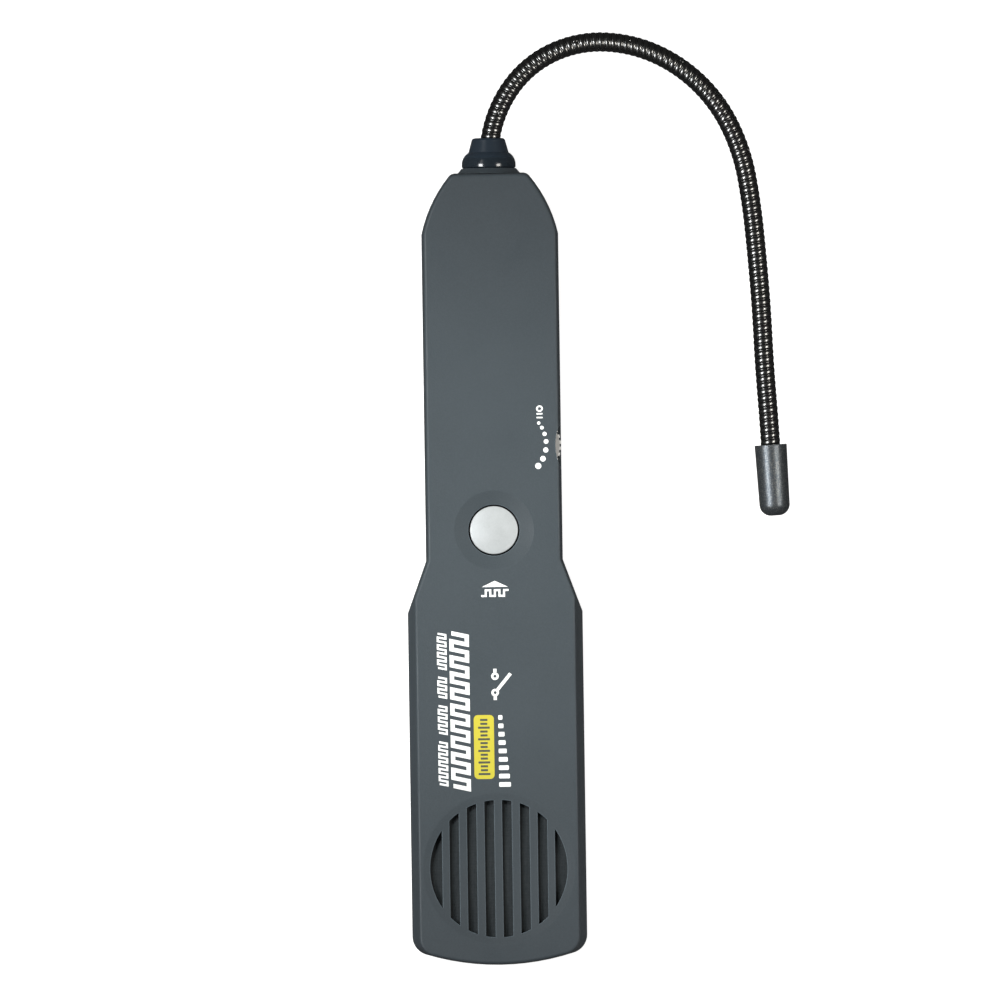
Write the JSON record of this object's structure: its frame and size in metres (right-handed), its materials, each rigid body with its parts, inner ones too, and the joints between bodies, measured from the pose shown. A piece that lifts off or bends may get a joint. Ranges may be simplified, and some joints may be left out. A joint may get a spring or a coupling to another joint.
{
  "type": "circuit breaker finder",
  "caption": "Handheld receiver with a grilled speaker, push button and volume wheel, and a bendable gooseneck arm ending in a sensor cap.",
  "frame": {"origin": "on the flat back that the casing lies on, midway along the casing", "axes": "+Z is the front face's outward normal, +Y runs along the casing towards the gooseneck, +X is to the right seen from the front"},
  "size_m": [0.101, 0.2452, 0.0295],
  "materials": {
    "arm_steel": "black gloss plating",
    "battery_jacket": "satin",
    "black_insulation": "satin",
    "black_plastic": "satin",
    "board_laminate": "satin",
    "brass_metal": "satin",
    "capacitor_sleeve": "satin",
    "cloth_black": "matte",
    "copper_winding": "gloss",
    "ferrite": "matte",
    "foam": "matte",
    "gland_plastic": "gloss",
    "grey_insulation": "satin",
    "probe_plastic": "satin",
    "red_insulation": "satin",
    "resistor_lacquer": "satin",
    "screw_steel": "satin",
    "shell_plastic": "matte",
    "silver_plastic": "satin",
    "speaker_paper": "matte",
    "tinned_metal": "satin",
    "wheel_plastic": "satin"
  },
  "bodies": {
    "casing": {"amplifier_chip": "black_plastic", "arm_ferrule": "brass_metal", "arm_stretch_01": "arm_steel", "battery": "battery_jacket", "battery_lead_black": "black_insulation", "battery_lead_red": "red_insulation", "battery_terminals": "tinned_metal", "board_screws": "screw_steel", "capacitors": "capacitor_sleeve", "case_screws": "screw_steel", "circuit_board": "board_laminate", "foam_pad": "foam", "front_shell": "shell_plastic", "gland": "gland_plastic", "gland_nut": "gland_plastic", "potentiometer_body": "tinned_metal", "rear_shell": "shell_plastic", "resistors": "resistor_lacquer", "sensor_lead": "grey_insulation", "snap_connector": "black_insulation", "speaker_cloth": "cloth_black", "speaker_cone": "speaker_paper", "speaker_frame": "tinned_metal", "speaker_lead_black": "black_insulation", "speaker_lead_red": "red_insulation", "speaker_magnet": "ferrite", "switch_body": "black_plastic", "transistor": "black_plastic"},
    "test_button": {"test_button": "silver_plastic", "switch_plunger": "black_plastic"},
    "volume_wheel": {"volume_wheel": "wheel_plastic", "potentiometer_shaft": "black_plastic", "wheel_screw": "screw_steel"},
    "battery_cover": {"battery_cover": "shell_plastic"},
    "arm_link_02": {"arm_stretch_02": "arm_steel"},
    "arm_link_03": {"arm_stretch_03": "arm_steel"},
    "arm_link_04": {"arm_stretch_04": "arm_steel"},
    "arm_link_05": {"arm_stretch_05": "arm_steel"},
    "arm_link_06": {"arm_stretch_06": "arm_steel"},
    "arm_link_07": {"arm_stretch_07": "arm_steel"},
    "arm_link_08": {"arm_stretch_08": "arm_steel"},
    "arm_link_09": {"arm_stretch_09": "arm_steel"},
    "arm_link_10": {"arm_stretch_10": "arm_steel"},
    "arm_link_11": {"arm_stretch_11": "arm_steel"},
    "arm_link_12": {"arm_stretch_12": "arm_steel", "probe_cap": "probe_plastic", "sensor_coil": "copper_winding", "sensor_core": "ferrite"}
  },
  "joints": [
    {"name": "test_button_press", "type": "slide", "parent": "casing", "child": "test_button", "axis": [0, 0, -1], "range_m": [0, 0.0006], "stiffness_N_per_m": 2500, "springref_m": -0.0004},
    {"name": "volume_wheel_turn", "type": "hinge", "parent": "casing", "child": "volume_wheel", "pos_m": [0.0096, 0.0323, 0.0212], "axis": [0, 0, -1], "range_deg": [0, 270]},
    {"name": "battery_cover_slide", "type": "slide", "parent": "casing", "child": "battery_cover", "axis": [0, -1, 0], "range_m": [0, 0.062]},
    {"name": "arm_bend_01", "type": "hinge", "parent": "casing", "child": "arm_link_02", "pos_m": [0.00603, 0.12655, 0.0145], "axis": [0, 0, 1], "range_deg": [-5, 30]},
    {"name": "arm_lift_02", "type": "hinge", "parent": "arm_link_02", "child": "arm_link_03", "pos_m": [0.01675, 0.13555, 0.0145], "axis": [0.4305, -0.9026, 0], "range_deg": [-12, 30]},
    {"name": "arm_bend_03", "type": "hinge", "parent": "arm_link_03", "child": "arm_link_04", "pos_m": [0.03047, 0.1384, 0.0145], "axis": [0, 0, 1], "range_deg": [-10, 30]},
    {"name": "arm_lift_04", "type": "hinge", "parent": "arm_link_04", "child": "arm_link_05", "pos_m": [0.04416, 0.13518, 0.0145], "axis": [-0.4147, -0.91, 0], "range_deg": [-6, 30]},
    {"name": "arm_bend_05", "type": "hinge", "parent": "arm_link_05", "child": "arm_link_06", "pos_m": [0.05572, 0.12716, 0.0145], "axis": [0, 0, 1], "range_deg": [-15, 30]},
    {"name": "arm_lift_06", "type": "hinge", "parent": "arm_link_06", "child": "arm_link_07", "pos_m": [0.0638, 0.11563, 0.0145], "axis": [0.9063, 0.4226, 0], "range_deg": [-30, 4]},
    {"name": "arm_bend_07", "type": "hinge", "parent": "arm_link_07", "child": "arm_link_08", "pos_m": [0.06798, 0.10215, 0.0145], "axis": [0, 0, 1], "range_deg": [-20, 30]},
    {"name": "arm_lift_08", "type": "hinge", "parent": "arm_link_08", "child": "arm_link_09", "pos_m": [0.06976, 0.08812, 0.0145], "axis": [0.9962, 0.0872, 0], "range_deg": [-30, 6]},
    {"name": "arm_bend_09", "type": "hinge", "parent": "arm_link_09", "child": "arm_link_10", "pos_m": [0.07088, 0.07401, 0.0145], "axis": [0, 0, 1], "range_deg": [-25, 30]},
    {"name": "arm_lift_10", "type": "hinge", "parent": "arm_link_10", "child": "arm_link_11", "pos_m": [0.07162, 0.05988, 0.0145], "axis": [-0.9994, -0.0349, 0], "range_deg": [-10, 30]},
    {"name": "arm_bend_11", "type": "hinge", "parent": "arm_link_11", "child": "arm_link_12", "pos_m": [0.07236, 0.04575, 0.0145], "axis": [0, 0, 1], "range_deg": [-30, 30]}
  ]
}
